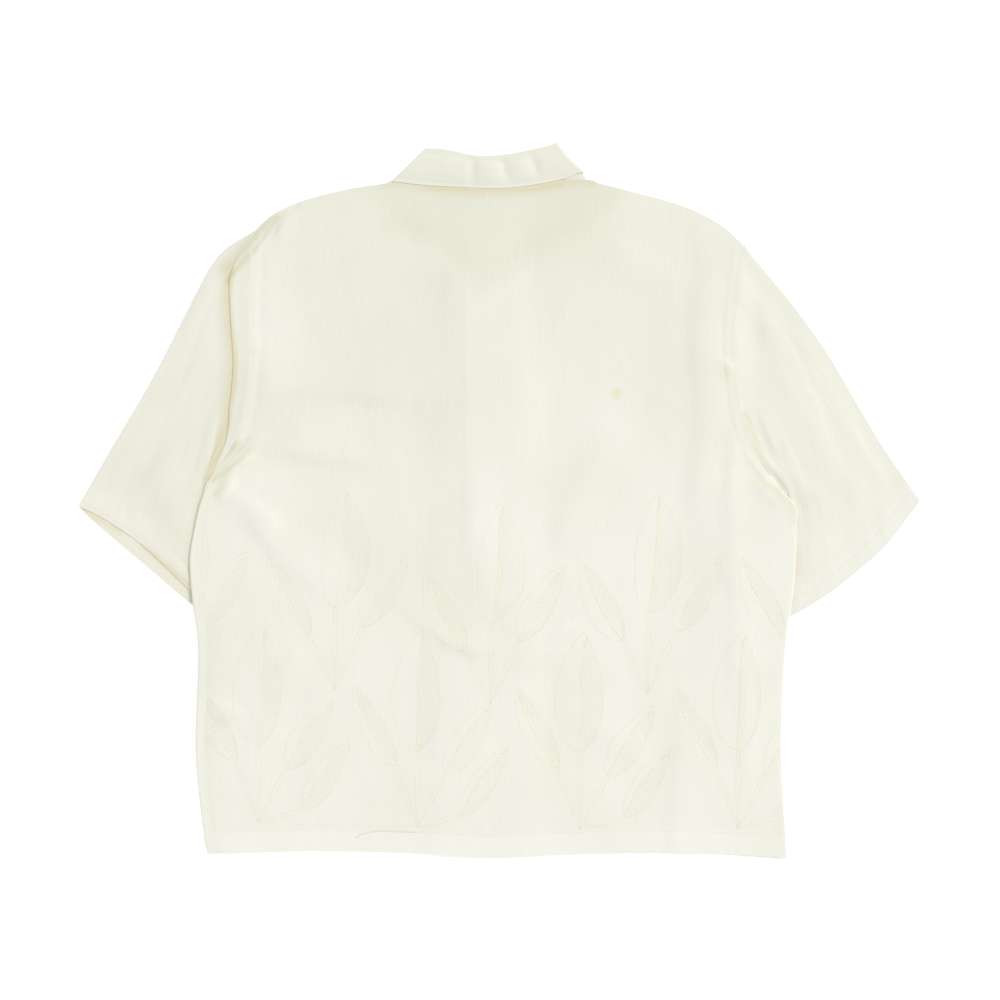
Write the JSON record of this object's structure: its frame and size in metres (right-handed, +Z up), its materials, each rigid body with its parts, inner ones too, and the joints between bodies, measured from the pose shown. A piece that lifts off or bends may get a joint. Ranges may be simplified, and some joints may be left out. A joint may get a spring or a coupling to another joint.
{
  "type": "short-sleeved button-up shirt",
  "caption": "Boxy short-sleeved button-up shirt in thin cream cloth, laid out flat on its front with its back up and its collar turned down.",
  "frame": {"origin": "on the surface it lies on, under the middle of its outline", "axes": "+Z up out of the back of the shirt, +Y from the hem to the collar, +X from the wearer's left sleeve to the right sleeve"},
  "size_m": [0.8848, 0.7514, 0.0075],
  "materials": {
    "cream_cloth": "matt, slubby plain weave with leaf embroidery in the same colour",
    "button_cream": "satin"
  },
  "bodies": {
    "root": {"back": "cream_cloth", "front_left": "cream_cloth", "front_right": "cream_cloth", "sleeve_left": "cream_cloth", "sleeve_right": "cream_cloth", "collar": "cream_cloth", "button_1": "button_cream", "button_2": "button_cream", "button_3": "button_cream", "button_4": "button_cream", "button_5": "button_cream", "button_6": "button_cream"}
  },
  "joints": []
}
